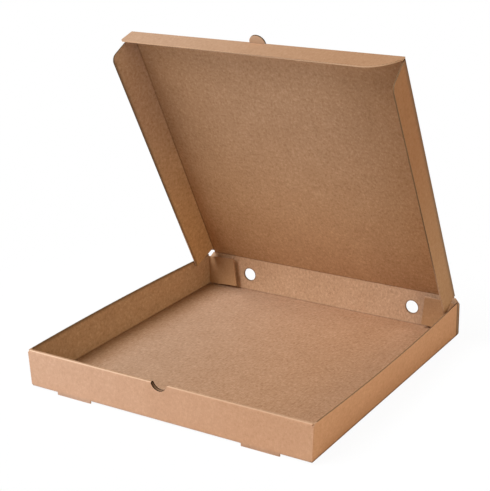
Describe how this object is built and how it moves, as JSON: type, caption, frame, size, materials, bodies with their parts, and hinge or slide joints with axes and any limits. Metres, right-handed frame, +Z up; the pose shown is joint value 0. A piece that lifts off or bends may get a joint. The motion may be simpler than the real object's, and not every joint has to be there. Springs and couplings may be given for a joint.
{
  "type": "pizza box",
  "caption": "Folded brown corrugated card pizza box standing open, with a hinged lid and tuck-in flaps, a rolled-over front wall with a finger notch, and a vented rear wall.",
  "frame": {"origin": "on the ground under the middle of the tray", "axes": "+X along the front wall to the right seen from the front, +Y from the front wall to the hinge, +Z up"},
  "size_m": [0.3406, 0.336, 0.3467],
  "materials": {
    "tray_card": "matt brown kraft paper",
    "lid_card": "matt brown kraft paper"
  },
  "bodies": {
    "base_tray": {"base_tray": "tray_card"},
    "rear_left_flap": {"rear_left_flap": "tray_card"},
    "rear_right_flap": {"rear_right_flap": "tray_card"},
    "lid": {"lid": "lid_card"},
    "lid_left_flap": {"lid_left_flap": "lid_card"},
    "lid_right_flap": {"lid_right_flap": "lid_card"},
    "lid_front_flap": {"lid_front_flap": "lid_card"}
  },
  "joints": [
    {"name": "lid_hinge", "type": "hinge", "parent": "base_tray", "child": "lid", "pos_m": [0, 0.16725, 0.0448], "axis": [-1, 0, 0], "range_deg": [-64, 116]},
    {"name": "lid_left_flap_fold", "type": "hinge", "parent": "lid", "child": "lid_left_flap", "pos_m": [-0.158, 0.16658, 0.04447], "axis": [0, -0.4384, 0.8988], "range_deg": [0, 80]},
    {"name": "lid_right_flap_fold", "type": "hinge", "parent": "lid", "child": "lid_right_flap", "pos_m": [0.158, 0.16658, 0.04447], "axis": [0, 0.4384, -0.8988], "range_deg": [0, 80]},
    {"name": "lid_front_flap_fold", "type": "hinge", "parent": "lid", "child": "lid_front_flap", "pos_m": [0, 0.02415, 0.33649], "axis": [1, 0, 0], "range_deg": [0, 15]},
    {"name": "rear_left_flap_swing", "type": "hinge", "parent": "base_tray", "child": "rear_left_flap", "pos_m": [-0.16425, 0.163, 0.02], "axis": [0, 0, -1], "range_deg": [-6.5, 5]},
    {"name": "rear_right_flap_swing", "type": "hinge", "parent": "base_tray", "child": "rear_right_flap", "pos_m": [0.16425, 0.163, 0.02], "axis": [0, 0, 1], "range_deg": [-6.5, 5]}
  ]
}
